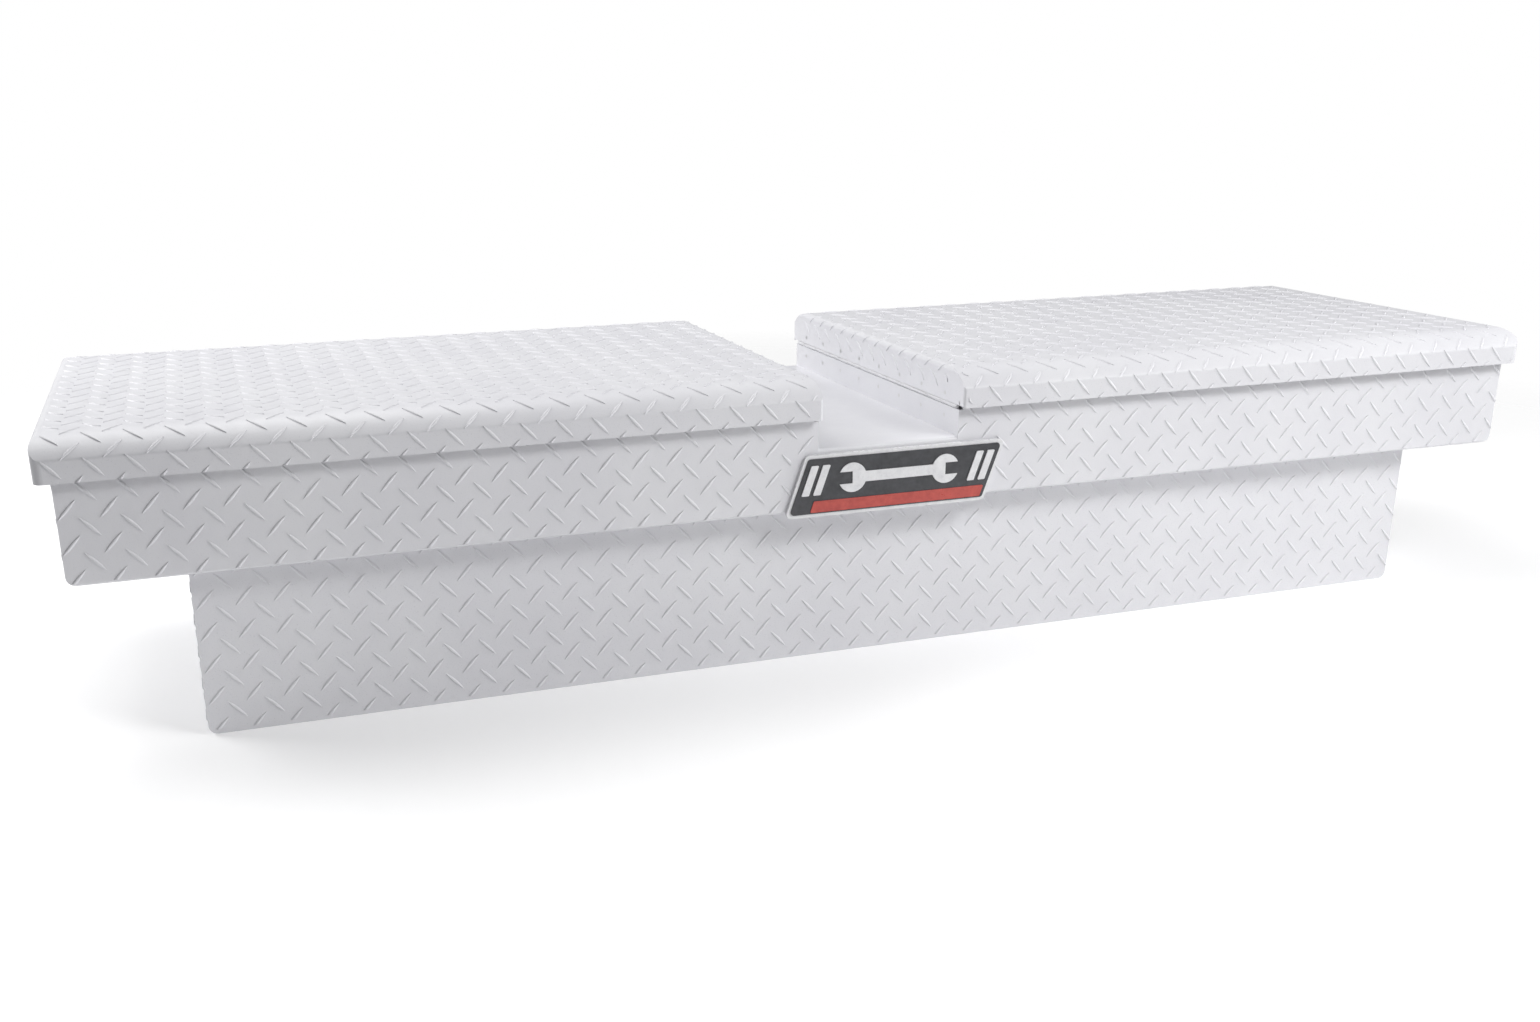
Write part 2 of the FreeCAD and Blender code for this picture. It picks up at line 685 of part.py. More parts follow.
def end_plate(name, across_low, across_high, low, high, start, end, corner):
    plate = extruded(name, "YZ", [rectangle(across_low, across_high, low, high)], start, end)
    return round_edges(plate, lambda edge: is_parallel(edge, "X"), corner)


def latch_dish():
    """Pressed dish with a flat bezel, a slot for the paddle's tail and holes for its pin."""
    gap = s["fit_gap"]
    face = BODY_X + T
    back = BODY_X - DISH_DEPTH
    bezel = end_plate("dish_bezel", -DISH_Y - BEZEL_RIM, DISH_Y + BEZEL_RIM, DISH_LOW - BEZEL_RIM,
                      DISH_HIGH + BEZEL_RIM, BODY_X, face, DISH_CORNER + 4)
    pan = end_plate("dish_pan", gap - DISH_Y, DISH_Y - gap, DISH_LOW + gap, DISH_HIGH - gap,
                    back, BODY_X, DISH_CORNER)
    hollow = end_plate("dish_hollow", gap + T - DISH_Y, DISH_Y - gap - T, DISH_LOW + gap + T,
                       DISH_HIGH - gap - T, back + T, face + T, DISH_CORNER - T)
    slot = box("dish_slot", (back - T, -TAIL_NEAR, DISH_LOW + 34), (back + T * 2, TAIL_FAR + 3, DISH_HIGH - 3))
    pin_hole = rod("dish_pin_hole", PADDLE_PIN_RADIUS, (PADDLE_X, -DISH_Y - T, s["paddle_pin_height"]),
                   (DISH_Y + T) * 2, "Y")
    screws = [rod(f"dish_screw_hole_{n}", SCREW_RADIUS, (BODY_X - T, y, z), T * 4, "X")
              for n, (y, z) in enumerate(screw_places(), start=1)]
    return cut("dish_sheet", fuse("dish_solid", [bezel, pan]), [hollow, slot, pin_hole] + screws)


SCREW_RADIUS = 2


def screw_places():
    across = DISH_Y + BEZEL_RIM / 2
    middle = (DISH_LOW + DISH_HIGH) * 0.5
    return [(across * side, middle + 20 * row) for side in (-1, 1) for row in (-1, 1)]


def latch_screws():
    """Bezel screws, flush inside the end wall and domed outside."""
    screws = []
    for n, (y, z) in enumerate(screw_places(), start=1):
        shank = rod(f"screw_shank_{n}", SCREW_RADIUS, (BODY_X, y, z), T, "X")
        head = dome(f"screw_head_{n}", SCREW_RADIUS * 2, SCREW_RADIUS, (BODY_X + T, y, z), SCREW_RADIUS * 0.8, "X")
        screws.append(fuse(f"screw_{n}", [shank, head]))
    return group("screw_set", screws)


def latch_paddle():
    """Pull paddle hinged along its top edge, with a tail and drive pin behind the dish."""
    face = BODY_X + T / 2
    pin_z = s["paddle_pin_height"]
    plate = end_plate("paddle_plate", -PADDLE_Y, PADDLE_Y, PADDLE_LOW, pin_z + 2, face - PADDLE_GAUGE, face, 4)
    barrel = rod("paddle_barrel", PADDLE_PIN_RADIUS * 2, (PADDLE_X, -PADDLE_Y, pin_z), PADDLE_Y * 2, "Y")
    tail = box("paddle_tail", (PADDLE_X - TAIL_LENGTH - 3, TAIL_NEAR, pin_z - 2.5),
               (PADDLE_X, TAIL_FAR, pin_z + 2.5))
    drive = rod("paddle_drive_pin", 2, (PADDLE_X - TAIL_LENGTH, -PAWL_HALF, pin_z), TAIL_FAR + PAWL_HALF, "Y")
    boss = rod("paddle_lock_boss", LOCK_RADIUS + 2.5, (face - PADDLE_GAUGE - 5, 0, LOCK_Z), 6, "X")
    bore = rod("paddle_bore", PADDLE_PIN_RADIUS + s["running_gap"], (PADDLE_X, -DISH_Y, pin_z), DISH_Y * 2, "Y")
    lock_bore = rod("paddle_lock_bore", LOCK_RADIUS + s["running_gap"], (PADDLE_X - 12, 0, LOCK_Z), 24, "X")
    return cut("paddle_drilled", fuse("paddle_solid", [plate, barrel, tail, drive, boss]), [bore, lock_bore])


def paddle_pin():
    reach = DISH_Y - s["fit_gap"]
    return rod("paddle_pin_rod", PADDLE_PIN_RADIUS, (PADDLE_X, -reach, s["paddle_pin_height"]), reach * 2, "Y")


def lock_cylinder():
    """Key lock in the paddle; its slot shows which way it is turned."""
    start = BODY_X + T / 2 - PADDLE_GAUGE - 5
    end = BODY_X + 2
    barrel = rod("lock_barrel", LOCK_RADIUS, (start, 0, LOCK_Z), end - start, "X")
    slot = box("lock_slot", (end - 2.5, -0.6, LOCK_Z - 3.5), (end + 1, 0.6, LOCK_Z + 3.5))
    return cut("lock_slotted", barrel, [slot])


def latch_housing():
    """Bracket behind the dish that holds the pawl's pin between two cheeks."""
    back = BODY_X - DISH_DEPTH
    near = PAWL_HALF + 11
    low = DISH_LOW + 36
    high = DISH_HIGH + 8
    start = PAWL_X - 7
    cheeks = [box(f"housing_cheek_{side}", (start, low_y, low), (back, low_y + T, high))
              for side, low_y in (("rear", as_size(near)), ("front", -near - T))]
    feet = [box(f"housing_foot_{side}", (back - T, low_y, low), (back, low_y + 10, DISH_HIGH - 4))
            for side, low_y in (("rear", as_size(near)), ("front", -near - 10))]
    bridge = box("housing_bridge", (start, -near - T, low), (start + T, near + T, low + 8))
    pin_hole = rod("housing_pin_hole", PAWL_PIN_RADIUS, (PAWL_X, -near - T * 2, s["pawl_pin_height"]),
                   (near + T * 2) * 2, "Y")
    return cut("housing_drilled", fuse("housing_solid", cheeks + feet + [bridge]), [pin_hole])


def pawl_pin():
    reach = PAWL_HALF + 11 + T
    return rod("pawl_pin_rod", PAWL_PIN_RADIUS, (PAWL_X, -reach, s["pawl_pin_height"]), reach * 2, "Y")


def latch_pawl():
    """Hooked lever: the arm lies under the drive pin, the hook beside the striker bar."""
    z = s["pawl_pin_height"]
    bar_x = PAWL_X + 2
    hook_inner = bar_x + STRIKER_RADIUS + 0.4
    outline = [(PAWL_X - 5, z - 7), (PAWL_X + 24, z - 12), (PAWL_X + 24, z - 6.4), (PAWL_X + 8, z - 6.4),
               (PAWL_X + 15, z + 24), (PAWL_X + 15, z + 38), (hook_inner, z + 38),
               (hook_inner, z + 33), (PAWL_X + 9, z + 30), (PAWL_X + 9, z + 24), (PAWL_X - 5, z + 6)]
    plate = extruded("pawl_plate", "XZ", [outline], -PAWL_HALF, PAWL_HALF)
    bore = rod("pawl_bore", PAWL_PIN_RADIUS + s["running_gap"], (PAWL_X, -10, z), 20, "Y")
    return cut("pawl_drilled", plate, [bore])


def striker():
    """Bar held under the lid's inner pan by two legs and a foot plate."""
    x = PAWL_X + 2
    roof = s["pan_height"]
    bar = rod("striker_bar", STRIKER_RADIUS, (x, -14, STRIKER_Z), 28, "Y")
    legs = [box(f"striker_leg_{side}", (x - STRIKER_RADIUS, low_y, STRIKER_Z - STRIKER_RADIUS),
                (x + STRIKER_RADIUS, low_y + 3, roof))
            for side, low_y in (("rear", as_size(12)), ("front", as_size(-15)))]
    foot = box("striker_foot", (x - 10, -24, roof - 2), (x + 8, 24, roof))
    return fuse("striker_solid", [bar, foot] + legs)


# ---------------------------------------------------------------- front badge

BADGE_LOW = 180.0
BADGE_HIGH = 251.0
BADGE_SLANT = 25.0
BADGE_LEFT = -128.0
BADGE_RIGHT = 121.0
BADGE_BORDER = 4.0


def slanted(left, right, low, high):
    """Parallelogram that leans with the badge."""
    lean = BADGE_SLANT / (BADGE_HIGH - BADGE_LOW)
    shift_low = (low - BADGE_LOW) * lean
    shift_high = (high - BADGE_LOW) * lean
    return [(left + shift_low, low), (right + shift_low, low), (right + shift_high, high), (left + shift_high, high)]


def badge_layer(name, outline, near, depth, corner):
    """Flat layer on the front face; near is how far its back stands off the face."""
    back = -BODY_Y - near
    layer = extruded(name, "XZ", [outline], back - depth, back)
    return round_edges(layer, lambda edge: is_parallel(edge, "Y"), corner)


def badge_plate():
    outline = slanted(BADGE_LEFT, BADGE_RIGHT, BADGE_LOW, BADGE_HIGH)
    return badge_layer("badge_base", outline, 0, s["badge_thickness"], 6)


def badge_field():
    edge = BADGE_BORDER
    outline = slanted(BADGE_LEFT + edge, BADGE_RIGHT - edge, BADGE_LOW + edge, BADGE_HIGH - edge)
    return badge_layer("badge_dark", outline, s["badge_thickness"], s["badge_inlay"], 4)


def badge_stripe():
    edge = BADGE_BORDER
    outline = slanted(BADGE_LEFT + 7 * edge, BADGE_RIGHT - 2 * edge, BADGE_LOW + edge + 1.5, BADGE_LOW + edge + 14.5)
    return badge_layer("badge_red", outline, s["badge_thickness"] + s["badge_inlay"], s["badge_relief"] * 0.5, 1.5)


def badge_symbol():
    """Plain open-ended spanner between two slanted bars."""
    near = s["badge_thickness"] + s["badge_inlay"]
    depth = s["badge_relief"]
    face = -BODY_Y - near - depth
    middle = (BADGE_LOW + BADGE_HIGH) / 2 + 7
    centre = (BADGE_LEFT + BADGE_RIGHT + BADGE_SLANT) / 2 + 2
    reach = 58
    pieces = [box("spanner_shaft", (centre - reach, face, middle - 6), (centre + reach, face + depth, middle + 6))]
    jaws = []
    for side, sign in (("right", 1), ("left", -1)):
        at = centre + reach * sign
        pieces.append(rod(f"spanner_head_{side}", 17, (at, face, middle), depth, "Y"))
        low, high = (at, at + 24) if sign > 0 else (at - 24, at)
        jaws.append(box(f"spanner_jaw_{side}", (low, face - 1, middle - 7), (high, face + depth + 1, middle + 7)))
    spanner = cut("spanner", fuse("spanner_solid", pieces), jaws)
    bars = [badge_layer(f"badge_bar_{n}", slanted(left, left + 9, middle - 17, middle + 17), near, depth, 1)
            for n, left in enumerate((BADGE_LEFT + 10, BADGE_LEFT + 24, BADGE_RIGHT - 33, BADGE_RIGHT - 19), start=1)]
    return group("badge_white_marks", [spanner] + bars)


# ---------------------------------------------------------------- assembly

front = keep(stepped_panel(), "front_panel")
keep(mirrored("rear_sheet", front, FreeCAD.Vector(0, 1, 0)), "rear_panel")
keep_pair(end_panel(), "end_panel")
keep(floor_panel(), "floor_panel")
keep(channel_pan(), "channel_pan")
keep_pair(rim_frame(), "rim_frame")
keep_pair(bulb_seal(), "bulb_seal")
keep(rail_pads(), "rail_pads")
keep(drain_plugs(), "drain_plugs")

keep_pair(lid_skin(), "lid_skin")
keep_pair(lid_foam(), "lid_foam_core")
keep_pair(lid_pan(), "lid_inner_pan")
keep_pair(hinge_leaf("fixed_leaf", 0, FIXED_RIVET_Z - 10, WALL_TOP, FIXED_RIVET_Z), "hinge_fixed_leaf")
keep_pair(hinge_leaf("lid_leaf", 1, HINGE_SKIRT, HINGE_SKIRT + s["leaf_height"], LID_RIVET_Z), "hinge_lid_leaf")
keep_pair(hinge_pin(), "hinge_pin")
keep_pair(hinge_rivets("wall_rivets", FIXED_RIVET_Z), "channel_rivets")
keep_pair(hinge_rivets("skirt_rivets", LID_RIVET_Z), "lid_rivets")

keep_pair(strut_cylinder(), "strut_cylinder")
keep_pair(strut_rod(), "strut_rod")
keep_pair(strut_foot_bracket(), "strut_foot_bracket")
keep_pair(strut_lid_bracket(), "strut_lid_bracket")

keep_pair(latch_dish(), "latch_dish")
keep_pair(latch_screws(), "latch_screws")
keep_pair(latch_paddle(), "latch_paddle")
keep_pair(paddle_pin(), "paddle_pin")
keep_pair(lock_cylinder(), "lock_cylinder")
keep_pair(latch_housing(), "latch_housing")
keep_pair(latch_pawl(), "latch_pawl")
keep_pair(pawl_pin(), "pawl_pin")
keep_pair(striker(), "striker")

keep(badge_plate(), "badge_plate")
keep(badge_field(), "badge_field")
keep(badge_stripe(), "badge_stripe")
keep(badge_symbol(), "badge_symbol")

doc.recompute()
for item in doc.Objects:
    if "Invalid" in item.State or "Error" in item.State:
        raise RuntimeError(f"{item.Name} failed: {item.State}")
for item in NODES:
    shape = item.Shape
    if shape.isNull() or not shape.isValid() or not shape.Solids:
        raise RuntimeError(f"{item.Label} has no valid solid")
for item in NODES:
    item.Shape.exportStep(f"parts/{item.Label}.step")
    box_of = item.Shape.BoundBox
    print(f"{item.Label}: {len(item.Shape.Solids)} solids, {item.Shape.Volume:.0f} mm3, "
          f"x {box_of.XMin:.1f}..{box_of.XMax:.1f} y {box_of.YMin:.1f}..{box_of.YMax:.1f} "
          f"z {box_of.ZMin:.1f}..{box_of.ZMax:.1f}")
print(f"strut angle {STRUT_ANGLE:.3f} length {STRUT_LENGTH:.3f}, {len(NODES)} nodes")
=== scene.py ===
"""Crossover tool box for a pickup bed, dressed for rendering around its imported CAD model.

Frame: origin at the bottom centre, +X along the box, +Y to the rear, +Z up, metres.
"""

import math

import bmesh
import bpy
import numpy as np
from mathutils import Matrix, Vector


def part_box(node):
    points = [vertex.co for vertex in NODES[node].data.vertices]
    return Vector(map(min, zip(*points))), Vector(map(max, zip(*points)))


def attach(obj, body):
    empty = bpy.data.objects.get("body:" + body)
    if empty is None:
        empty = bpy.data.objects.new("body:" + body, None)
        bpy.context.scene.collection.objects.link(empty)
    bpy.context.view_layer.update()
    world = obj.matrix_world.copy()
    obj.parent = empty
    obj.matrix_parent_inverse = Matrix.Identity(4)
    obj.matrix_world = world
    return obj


MM = 0.001

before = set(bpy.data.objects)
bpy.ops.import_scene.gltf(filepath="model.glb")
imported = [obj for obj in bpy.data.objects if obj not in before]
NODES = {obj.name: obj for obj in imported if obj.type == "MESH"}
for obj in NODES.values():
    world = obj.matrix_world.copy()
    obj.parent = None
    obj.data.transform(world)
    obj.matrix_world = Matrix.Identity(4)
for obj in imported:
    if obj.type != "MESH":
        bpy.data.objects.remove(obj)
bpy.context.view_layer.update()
SIDES = {"right": 1, "left": -1}

# ---------------------------------------------------------------- measures read from the CAD nodes


def low(node):
    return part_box(node)[0]


def high(node):
    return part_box(node)[1]


GAUGE = 1.6 * MM
FLOOR_FLANGE = 22 * MM
BODY_X = high("front_panel").x
BODY_Y = high("rear_panel").y
RIM_Z = high("front_panel").z
TUB_X = high("floor_panel").x + FLOOR_FLANGE
TUB_Y = high("floor_panel").y + GAUGE
LEDGE_Z = high("rail_pads").z
CHANNEL_X = low("right_lid_skin").x
CHANNEL_LIP = low("channel_pan").z
LID_X = high("right_lid_skin").x
LID_Y = high("right_lid_skin").y
LID_TOP = high("right_lid_skin").z
SKIRT_Z = low("right_lid_skin").z
BODY_CORNER = 10 * MM
SHEET_BEND = 3 * MM
LID_ROLL = 54 * MM
LID_FOOT_BEND = 4.5 * MM
LID_BROW_HEIGHT = 19.5 * MM
LID_BROW_RUN = 17.8 * MM
LID_END_BEND = 10 * MM
LID_INNER_BEND = 6 * MM

# ---------------------------------------------------------------- raised tread bars

TREAD_PITCH = 38.1 * MM
TREAD_ROW = 35.3 * MM
BAR_HALF_LENGTH = 13.6 * MM
BAR_HALF_WIDTH = 2.1 * MM
BAR_HEIGHT = 1.15 * MM
BAR_SUNK = 0.3 * MM
BAR_TAPER = 2.3
SHOULDER_LENGTH, SHOULDER_WIDTH, SHOULDER_HEIGHT = 0.95, 0.62, 0.7
CREST_LENGTH, CREST_DROP = 0.88, 0.3
BAR_TILT = math.radians(47)
SHARP_ANGLE = math.radians(58)
STATIONS = (-1.0, -0.74, -0.4, 0.0, 0.4, 0.74, 1.0)
ARC_STEP = 3 * MM
MERGE_DISTANCE = 1e-7
FOLD_MARGIN = 1e-6
FEWEST_FACES = 4


def bar_template():
    """One raised bar along its own axis: rings of (along, across, height), and its faces."""
    points = []
    ring = [(s, 1) for s in STATIONS] + [(s, -1) for s in reversed(STATIONS[1:-1])]
    shoulder = (SHOULDER_LENGTH, SHOULDER_WIDTH, SHOULDER_HEIGHT * BAR_HEIGHT)
    for length, width, height in ((1.0, 1.0, -BAR_SUNK), shoulder):
        for s, side in ring:
            across = BAR_HALF_WIDTH * width * (1 - abs(s) ** BAR_TAPER) * side
            points.append((s * BAR_HALF_LENGTH * length, across, height))
    crest = len(points)
    for s in STATIONS:
        points.append((s * BAR_HALF_LENGTH * CREST_LENGTH, 0.0, BAR_HEIGHT * (1 - CREST_DROP * s * s)))
    count, last = len(ring), len(STATIONS) - 1
    crest_of = [min(n, 2 * last - n) for n in range(count)]
    faces = []
    for n in range(count):
        m = (n + 1) % count
        faces.append((m, n, count + n, count + m))
        faces.append((count + m, count + n, crest + crest_of[n], crest + crest_of[m]))
    faces.append((0, 1, count - 1))
    faces.append((last, last + 1, last - 1))
    for n in range(1, last - 1):
        faces.append((n, n + 1, count - n - 1, count - n))
    return np.array(points), faces


BAR_POINTS, BAR_FACES = bar_template()


class Fold:
    """A sheet's cross-section: straight runs joined by bends, measured along its outer face.

    Corners are (out, up) pairs from the sheet's top edge downwards, so the outside lies to the left.
    """

    def __init__(self, corners, radii):
        self.parts, self.breaks = [], []
        corners = [np.array(c, float) for c in corners]
        start, travelled = corners[0], 0.0
        for n, radius in enumerate(radii, start=1):
            before = corners[n] - corners[n - 1]
            after = corners[n + 1] - corners[n]
            before, after = before / np.linalg.norm(before), after / np.linalg.norm(after)
            turn = math.atan2(before[0] * after[1] - before[1] * after[0], before @ after)
            reach = radius * math.tan(abs(turn) / 2)
            bend_start = corners[n] - before * reach
            travelled = self.add_run(travelled, start, bend_start)
            travelled = self.add_bend(travelled, bend_start, before, radius, turn)
            start = corners[n] + after * reach
        self.length = self.add_run(travelled, start, corners[-1])

    def add_run(self, travelled, start, end):
        span = np.linalg.norm(end - start)
        direction = (end - start) / span
        self.parts.append((travelled, travelled + span, start, direction, 0.0, 0.0))
        return travelled + span

    def add_bend(self, travelled, start, direction, radius, turn):
        span = radius * abs(turn)
        self.parts.append((travelled, travelled + span, start, direction, radius, turn))
        steps = max(2, round(span / ARC_STEP))
        self.breaks += [travelled + span * n / steps for n in range(steps + 1)]
        return travelled + span

    def at(self, v, height):
        """The (out, up) place of a point v along the sheet and height above it."""
        part = next((p for p in self.parts if v <= p[1]), self.parts[-1])
        begin, _, start, direction, radius, turn = part
        if radius == 0:
            normal = np.array((-direction[1], direction[0]))
            return start + direction * (v - begin) + normal * height
        side = math.copysign(1, turn)
        left = np.array((-direction[1], direction[0]))
        centre = start + left * radius * side
        angle = (v - begin) / radius * side
        spoke = start - centre
        cosine, sine = math.cos(angle), math.sin(angle)
        turned = np.array((spoke[0] * cosine - spoke[1] * sine, spoke[0] * sine + spoke[1] * cosine))
        outward = turned / np.linalg.norm(turned) * -side
        return centre + turned + outward * height


def cut_bar(bar, cuts):
    """Splits one bar at fold lines and trims it at sheet edges; returns its points and faces."""
    bm = bmesh.new()
    verts = [bm.verts.new(p) for p in bar]
    for face in BAR_FACES:
        bm.faces.new([verts[n] for n in face])
    for place, normal, trims in cuts:
        geometry = bm.verts[:] + bm.edges[:] + bm.faces[:]
        bmesh.ops.bisect_plane(bm, geom=geometry, dist=MERGE_DISTANCE, plane_co=place, plane_no=normal,
                               clear_outer=trims)
        if trims:
            rim = [e for e in bm.edges if e.is_boundary]
            if rim:
                bmesh.ops.holes_fill(bm, edges=rim, sides=0)
    bm.verts.index_update()
    points = [tuple(v.co) for v in bm.verts]
    faces = [tuple(v.index for v in f.verts) for f in bm.faces]
    bm.free()
    return points, faces


def cuts_for(bar, fold, edges, openings):
    """The planes that split or trim this bar, or None where an opening swallows it."""
    (u0, v0), (u1, v1) = bar[:, :2].min(0), bar[:, :2].max(0)
    left, right, top, bottom = edges
    if u1 < left or u0 > right or v1 < top or v0 > bottom:
        return None
    cuts = []
    if u0 < left:
        cuts.append(((left, 0, 0), (-1, 0, 0), True))
    if u1 > right:
        cuts.append(((right, 0, 0), (1, 0, 0), True))
    if v0 < top:
        cuts.append(((0, top, 0), (0, -1, 0), True))
    if v1 > bottom:
        cuts.append(((0, bottom, 0), (0, 1, 0), True))
    for line in fold.breaks:
        if v0 + FOLD_MARGIN < line < v1 - FOLD_MARGIN:
            cuts.append(((0, line, 0), (0, 1, 0), False))
    middle_u, middle_v = (u0 + u1) / 2, (v0 + v1) / 2
    for ou0, ou1, ov0, ov1 in openings:
        if u1 < ou0 or u0 > ou1 or v1 < ov0 or v0 > ov1:
            continue
        gaps = {
            ou0 - middle_u: ((ou0, 0, 0), (1, 0, 0), True),
            middle_u - ou1: ((ou1, 0, 0), (-1, 0, 0), True),
            ov0 - middle_v: ((0, ov0, 0), (0, 1, 0), True),
            middle_v - ov1: ((0, ov1, 0), (0, -1, 0), True),
        }
        widest = max(gaps)
        if widest <= 0:
            return None
        cuts.append(gaps[widest])
    return cuts


def steps_across(start, pitch, low_edge, high_edge):
    """The whole numbers of pitches from start that reach over both edges."""
    return range(math.floor((low_edge - start) / pitch), math.ceil((high_edge - start) / pitch) + 1)


def tread(name, body, axes, fold, edges, first, openings=(), quarter_turn=False):
    """Raised bars in two directions over a folded sheet, each half a pitch from the other.

    axes are (origin, right, out, up); edges are (left, right, top, bottom) on the unrolled sheet;
    first is the (u, v) of one bar that leans to the right. With quarter_turn the rolled pattern
    runs down the sheet instead of along it.
    """
    origin, right, out, up = (Vector(a) for a in axes)
    pitch, row_pitch = (TREAD_ROW, TREAD_PITCH) if quarter_turn else (TREAD_PITCH, TREAD_ROW)
    points, faces = [], []
    for lean in (1, -1):
        turn = (math.pi / 2 - BAR_TILT) * lean if quarter_turn else BAR_TILT * -lean
        cosine, sine = math.cos(turn), math.sin(turn)
        along = BAR_POINTS[:, 0] * cosine - BAR_POINTS[:, 1] * sine
        across = BAR_POINTS[:, 0] * sine + BAR_POINTS[:, 1] * cosine
        shift = 0.0 if lean == 1 else 0.5
        start_u = first[0] + shift * pitch
        start_v = first[1] + shift * row_pitch
        for row in steps_across(start_v, row_pitch, edges[2], edges[3]):
            for column in steps_across(start_u, pitch, edges[0], edges[1]):
                middle = (start_u + column * pitch, start_v + row * row_pitch)
                bar = np.stack((along + middle[0], across + middle[1], BAR_POINTS[:, 2]), axis=1)
                cuts = cuts_for(bar, fold, edges, openings)
                if cuts is None:
                    continue
                shape, sides = cut_bar(bar, cuts) if cuts else (bar, BAR_FACES)
                if len(sides) < FEWEST_FACES:
                    continue
                base = len(points)
                for u, v, height in shape:
                    place_out, place_up = fold.at(v, height)
                    points.append(origin + right * float(u) + out * float(place_out)
                                  + up * float(place_up))
                faces += [tuple(base + n for n in f) for f in sides]
    mesh = bpy.data.meshes.new(name)
    mesh.from_pydata([tuple(p) for p in points], [], faces)
    mesh.validate()
    mesh.shade_smooth()
    mesh.set_sharp_from_angle(angle=SHARP_ANGLE)
    obj = bpy.data.objects.new(name, mesh)
    bpy.context.scene.collection.objects.link(obj)
    outward_faces(obj)
    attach(obj, body)
    obj.data.materials.append(MATERIALS["white_powder_coat"])


def outward_faces(obj):
    bm = bmesh.new()
    bm.from_mesh(obj.data)
    bmesh.ops.recalc_face_normals(bm, faces=bm.faces)
    bm.to_mesh(obj.data)
    bm.free()


# ---------------------------------------------------------------- materials

MATERIALS = {}
MIX_SHARE, MIX_FIRST, MIX_SECOND, MIX_COLOUR = 0, 6, 7, 2  # sockets of a mix node set to colours


class Finish:
    """A procedural material on one Principled shader, with object-space textures in metres."""

    def __init__(self, name, colour, roughness, metallic=0.0, **sockets):
        self.material = bpy.data.materials.new(name + "_finish")
        self.material.use_nodes = True
        self.nodes = self.material.node_tree.nodes
        self.links = self.material.node_tree.links
        self.shader = self.nodes["Principled BSDF"]
        self.shader.inputs["Base Color"].default_value = (*colour, 1)
        self.shader.inputs["Roughness"].default_value = roughness
        self.shader.inputs["Metallic"].default_value = metallic
        for socket, value in sockets.items():
            self.shader.inputs[socket.replace("_", " ")].default_value = value
        self.coordinates = self.nodes.new("ShaderNodeTexCoord").outputs["Object"]
        self.normal = None
        MATERIALS[name] = self.material

    def stretched(self, scale):
        mapping = self.nodes.new("ShaderNodeMapping")
        mapping.inputs["Scale"].default_value = scale
        self.links.new(self.coordinates, mapping.inputs["Vector"])
        return mapping.outputs["Vector"]

    def noise(self, per_metre, detail=2.0, roughness=0.5, vector=None):
        node = self.nodes.new("ShaderNodeTexNoise")
        node.inputs["Scale"].default_value = per_metre
        node.inputs["Detail"].default_value = detail
        node.inputs["Roughness"].default_value = roughness
        self.links.new(vector or self.coordinates, node.inputs["Vector"])
        return node.outputs["Fac"]

    def cells(self, per_metre, output="Distance"):
        node = self.nodes.new("ShaderNodeTexVoronoi")
        node.inputs["Scale"].default_value = per_metre
        self.links.new(self.coordinates, node.inputs["Vector"])
        return node.outputs[output]

    def ramp(self, value, stops):
        node = self.nodes.new("ShaderNodeValToRGB")
        ramp = node.color_ramp
        while len(ramp.elements) < len(stops):
            ramp.elements.new(0.5)
        for element, (place, colour) in zip(ramp.elements, stops):
            element.position = place
            element.color = (*colour, 1)
        self.links.new(value, node.inputs["Fac"])
        return node.outputs["Color"]

    def spread(self, value, low_value, high_value, from_low=0.3, from_high=0.7):
        node = self.nodes.new("ShaderNodeMapRange")
        node.inputs["From Min"].default_value = from_low
        node.inputs["From Max"].default_value = from_high
        node.inputs["To Min"].default_value = low_value
        node.inputs["To Max"].default_value = high_value
        self.links.new(value, node.inputs["Value"])
        return node.outputs["Result"]

    def mixed(self, first, second, share, mode):
        node = self.nodes.new("ShaderNodeMix")
        node.data_type = "RGBA"
        node.blend_type = mode
        node.inputs[MIX_SHARE].default_value = share
        self.links.new(first, node.inputs[MIX_FIRST])
        self.links.new(second, node.inputs[MIX_SECOND])
        return node.outputs[MIX_COLOUR]

    def coloured(self, value):
        self.links.new(value, self.shader.inputs["Base Color"])

    def rough(self, value):
        self.links.new(value, self.shader.inputs["Roughness"])

    def bumped(self, height, distance, strength=1.0):
        node = self.nodes.new("ShaderNodeBump")
        node.inputs["Strength"].default_value = strength
        node.inputs["Distance"].default_value = distance
        self.links.new(height, node.inputs["Height"])
        if self.normal:
            self.links.new(self.normal, node.inputs["Normal"])
        self.normal = node.outputs["Normal"]
        self.links.new(self.normal, self.shader.inputs["Normal"])


def white_powder_coat():
    """Semi-gloss white powder over tread plate: orange peel, faint flow patches, fine dust."""
    f = Finish("white_powder_coat", (0.75, 0.75, 0.78), 0.5, Coat_Weight=0.15, Coat_Roughness=0.3)
    drift = f.noise(7, 3, 0.55)
    film = f.ramp(drift, [(0.3, (0.735, 0.733, 0.765)), (0.7, (0.775, 0.775, 0.80))])
    specks = f.ramp(f.noise(900, 2, 0.5), [(0.28, (0.86, 0.86, 0.87)), (0.36, (1, 1, 1))])
    f.coloured(f.mixed(film, specks, 1.0, "MULTIPLY"))
    f.rough(f.spread(f.noise(60, 4, 0.6), 0.42, 0.58))
    f.bumped(f.noise(420, 2, 0.5), 0.00012, 0.5)
    f.bumped(f.noise(1500, 1, 0.5), 0.00003, 0.5)


